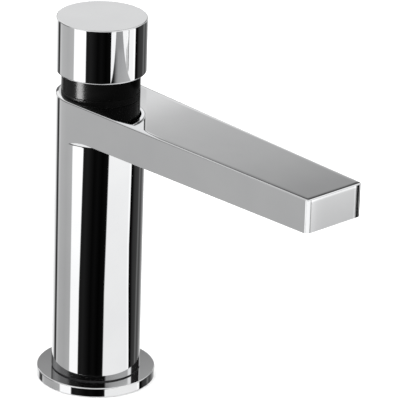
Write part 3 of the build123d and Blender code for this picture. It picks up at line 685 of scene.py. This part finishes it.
# Studio wall round the tap, as the upright chrome mirrors it: bands of white, grey and black side by side.
# Turns are in degrees from the camera's side, positive to the right. The bands lean and change upwards.
def wall_level(spot):
    """A ramp over the turn for each stretch of height, blended from one stretch to the next."""
    height = spot.dot((0, 0, 1.0))

    def above(start, width, most=1.0):
        """How far the height has come from start to start plus width, as a share."""
        return limited((height - start) / width, most)

    # a turn of 0.5 is the camera's side, and 0 and 1 are straight behind the tap
    plain_turn = spot.dot(tuple(right)).math("ARCTAN2", spot.dot(tuple(-away))) / (2 * math.pi) + 0.5
    # the bands lean over the lower part, all but those on the far left
    lower_part = above(-0.385, 0.145, 1.1)
    leaning = limited((plain_turn - 0.333) / 0.03)
    turn = plain_turn - (lower_part * (7.5 / 360) - 1.5 / 360) * leaning
    # near the foot, the black edge on the right leans the other way
    near_foot = limited((-0.35 - height) / 0.1)
    from_left, to_right = limited((plain_turn - 0.64) / 0.05), limited((0.82 - plain_turn) / 0.04)
    turn = turn - near_foot * from_left * to_right * (10 / 360)

    def bands(*stops):
        """A ramp over the turn with its stops at (degrees, level)."""
        return turn.ramp([(0.5 + degrees / 360, level) for degrees, level in stops])

    low_bands = bands(
        (-180, 1.0), (-146, 1.0), (-138, 0.3), (-132, 0.01), (-127, 0.01), (-122, 0.6), (-113, 0.47),
        (-90, 0.43), (-71, 0.47), (-70, 1.15), (-44.5, 1.15), (-43.5, 0.010), (-32, 0.013), (-22, 0.006),
        (-14, 0.002), (-5, 0.004), (6, 0.001), (21, 0.004), (22, 0.97), (81, 0.97), (84, 1.15), (87.5, 1.15),
        (88.5, 0.002), (95, 0.002), (103, 0.035), (120, 0.05), (126, 0.17), (133, 0.06), (143, 0.14),
        (156, 0.4), (172, 1.0), (180, 1.0),
    )
    left_stops = (
        (-180, 0.2), (-160, 0.03), (-140, 0.2), (-123, 0.25), (-99, 0.15), (-78, 0.13), (-66, 0.02),
        (-40, 0.003),
    )
    right_stops = ((99, 0.94), (103, 0.02), (150, 0.01), (165, 0.35), (180, 0.4))
    flange_bands = bands(
        *left_stops, (19, 0.003), (23, 0.33), (54, 0.42), (86, 0.46), (91, 0.94), *right_stops,
    )
    arm_bands = bands(
        *left_stops, (26, 0.004), (29, 0.1), (33, 0.3), (38, 0.45), (65, 0.56), (80, 0.60), *right_stops,
    )
    high_bands = bands(
        (-180, 1.0), (-150, 0.9), (-125, 0.6), (-85, 0.62), (-60, 1.0), (80, 1.0), (139, 1.0), (142, 0.01),
        (180, 0.01),
    )
    level_bands = bands(
        (-180, 0.4), (-160, 0.85), (-132, 0.85), (-124, 0.25), (-102, 0.08), (-86, 0.12), (-78, 0.65),
        (-50, 0.9), (-36, 0.85), (-29, 0.15), (0, 0.06), (14, 0.12), (22, 0.6), (45, 0.88), (75, 0.75),
        (85, 0.2), (97, 0.08), (115, 0.08), (126, 0.45), (142, 0.75), (180, 0.4),
    )
    # the column's bands fade a little downwards
    column_bands = low_bands * (lower_part * 0.12 + 0.97)
    # upwards: the column's bands, then what only level views see, the flange's, the arm side's and the rest
    low = above(-0.165, 0.05).mix(column_bands, level_bands)
    low = above(0.42, 0.015).mix(low, flange_bands)
    middle = above(0.474, 0.004).mix(low, arm_bands)
    upper = above(0.515, 0.006).mix(middle, high_bands)
    # below the column's stretch the wall is black, and further down white
    lower = above(-0.95, 0.1).mix((1.0, 1.0, 1.0, 1.0), (0.01, 0.01, 0.01, 1.0))
    return above(-0.57, 0.04).mix(lower, upper)


wall_steps, wall_r, wall_high = 144, 1.0, 3.0
around = arc(0, 2 * math.pi, wall_steps)[:-1] * wall_r
wall_mesh = bpy.data.meshes.new("studio_wall")
here = np.arange(wall_steps)
beside_it = (here + 1) % wall_steps
wall_mesh.from_pydata(
    np.vstack([at(around, -wall_high), at(around, wall_high)]).tolist(), [],
    np.stack([here, here + wall_steps, beside_it + wall_steps, beside_it], 1).tolist(),
)
glowing("studio_wall", wall_mesh, wall_level)

# Grey card high above, so that the flat tops stand out from the white floor when they are seen from above.
# It is lighter towards the camera and darker towards the back.
ceiling_half, ceiling_at = 0.8, 2.2


def ceiling_level(spot):
    """A ramp from the camera's side of the card to its far side."""
    return (spot.dot(tuple(away)) / (2 * ceiling_half) + 0.5).ramp([(0.0, 0.75), (0.5, 0.5), (1.0, 0.3)])


glowing("ceiling", level_square("ceiling", ceiling_half, ceiling_at), ceiling_level)

# Room beyond the wall: plain white for the camera and for mirrors.
# As a light on dull surfaces it is a little greyer, and darker below than above.
world = bpy.data.worlds.new("studio")
bpy.context.scene.world = world
world.use_nodes = True
world.node_tree.nodes.clear()
start = Wire(world.node_tree)
ray = start.node("ShaderNodeTexCoord", "Generated")
direct = start.node("ShaderNodeLightPath", "Is Camera Ray")
for kind in ("Is Glossy Ray", "Is Transmission Ray"):
    direct = direct.math("MAXIMUM", start.node("ShaderNodeLightPath", kind))
seen = ray.dot((0, 0, 1.0)).ramp([(0.0, 0.55), (0.35, 0.7), (0.7, 0.9)])
shown = direct.mix(seen, (1.0, 1.0, 1.0, 1.0))
backdrop = start.node("ShaderNodeBackground", 0, {"Color": shown, "Strength": 1.0})
start.node("ShaderNodeOutputWorld", inputs={"Surface": backdrop})

# Softbox: one broad soft light from above, a little to one side.
# It lights the floor and the dull pieces evenly, with hardly a shadow.
lamp_data = bpy.data.lights.new("softbox", "SUN")
lamp_data.energy = 2.6
lamp_data.angle = math.radians(120)
lamp = bpy.data.objects.new("softbox", lamp_data)
lamp.matrix_world = Matrix.Rotation(math.radians(14), 4, Vector((1, 0, 0)))
bpy.context.scene.collection.objects.link(lamp)

# Strip lamp for the black neck alone, so that its highlight needs no lamp that the chrome shows.
# It stands 0.2 m from the neck, on the camera's left, and shines up as steeply as the camera looks down.
strip_turn, strip_rise, strip_far = math.radians(-58), -view_down, 0.2
neck_centre = Vector((0, 0, 0.149))
way = (right * math.sin(strip_turn) - away * math.cos(strip_turn)) * math.cos(strip_rise)
way += Vector((0, 0, math.sin(strip_rise)))
strip_data = bpy.data.lights.new("neck_left", "AREA")
strip_data.shape = "RECTANGLE"
strip_data.size, strip_data.size_y = 0.065, 0.09
strip_data.energy = 2.8
strip = bpy.data.objects.new("neck_left", strip_data)
facing = way.to_track_quat("Z", "Y").to_matrix().to_4x4()
strip.matrix_world = Matrix.Translation(neck_centre + way * strip_far) @ facing
strip.visible_camera = False
bpy.context.scene.collection.objects.link(strip)
strip.light_linking.receiver_collection = bpy.data.collections.new("neck_left")
for piece in (ring_piece, sleeve_piece):
    strip.light_linking.receiver_collection.objects.link(piece)
